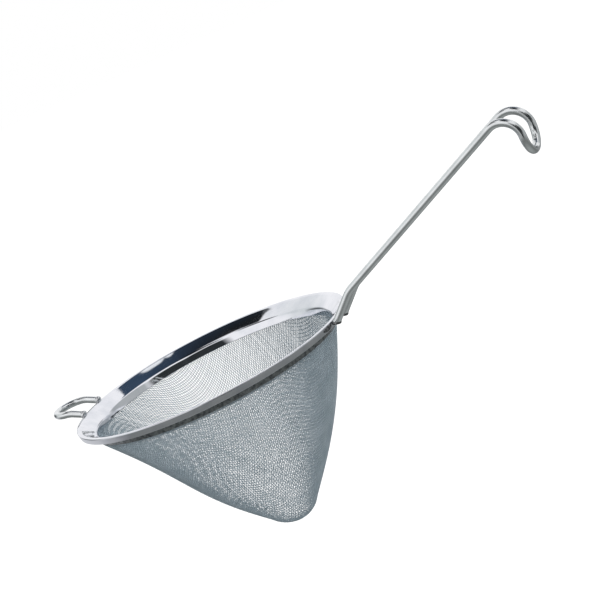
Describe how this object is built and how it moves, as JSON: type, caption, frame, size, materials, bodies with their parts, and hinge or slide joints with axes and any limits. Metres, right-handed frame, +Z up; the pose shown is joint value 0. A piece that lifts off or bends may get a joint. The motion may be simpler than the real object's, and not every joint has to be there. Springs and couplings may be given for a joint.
{
  "type": "fine mesh strainer",
  "caption": "Conical fine mesh strainer with a rolled steel rim, a bent wire handle ending in a hook, and a wire rest loop opposite the handle.",
  "frame": {"origin": "middle of the mouth, level with the top of the rim's rolled edge", "axes": "+Z up out of the mouth, +X along the handle, the cone's tip toward -Z"},
  "size_m": [0.1887, 0.094, 0.0969],
  "materials": {
    "wire_cloth": "bright drawn wire, woven square",
    "rim_steel": "mirror polished stainless sheet",
    "wire_steel": "polished stainless wire",
    "weld_steel": "bare weld, dull"
  },
  "bodies": {
    "root": {"mesh_cone": "wire_cloth", "rim_flange": "rim_steel", "clamp_band": "rim_steel", "handle_wire": "wire_steel", "handle_weld_left": "weld_steel", "handle_weld_right": "weld_steel", "rest_loop": "wire_steel", "loop_weld_left": "weld_steel", "loop_weld_right": "weld_steel"}
  },
  "joints": []
}
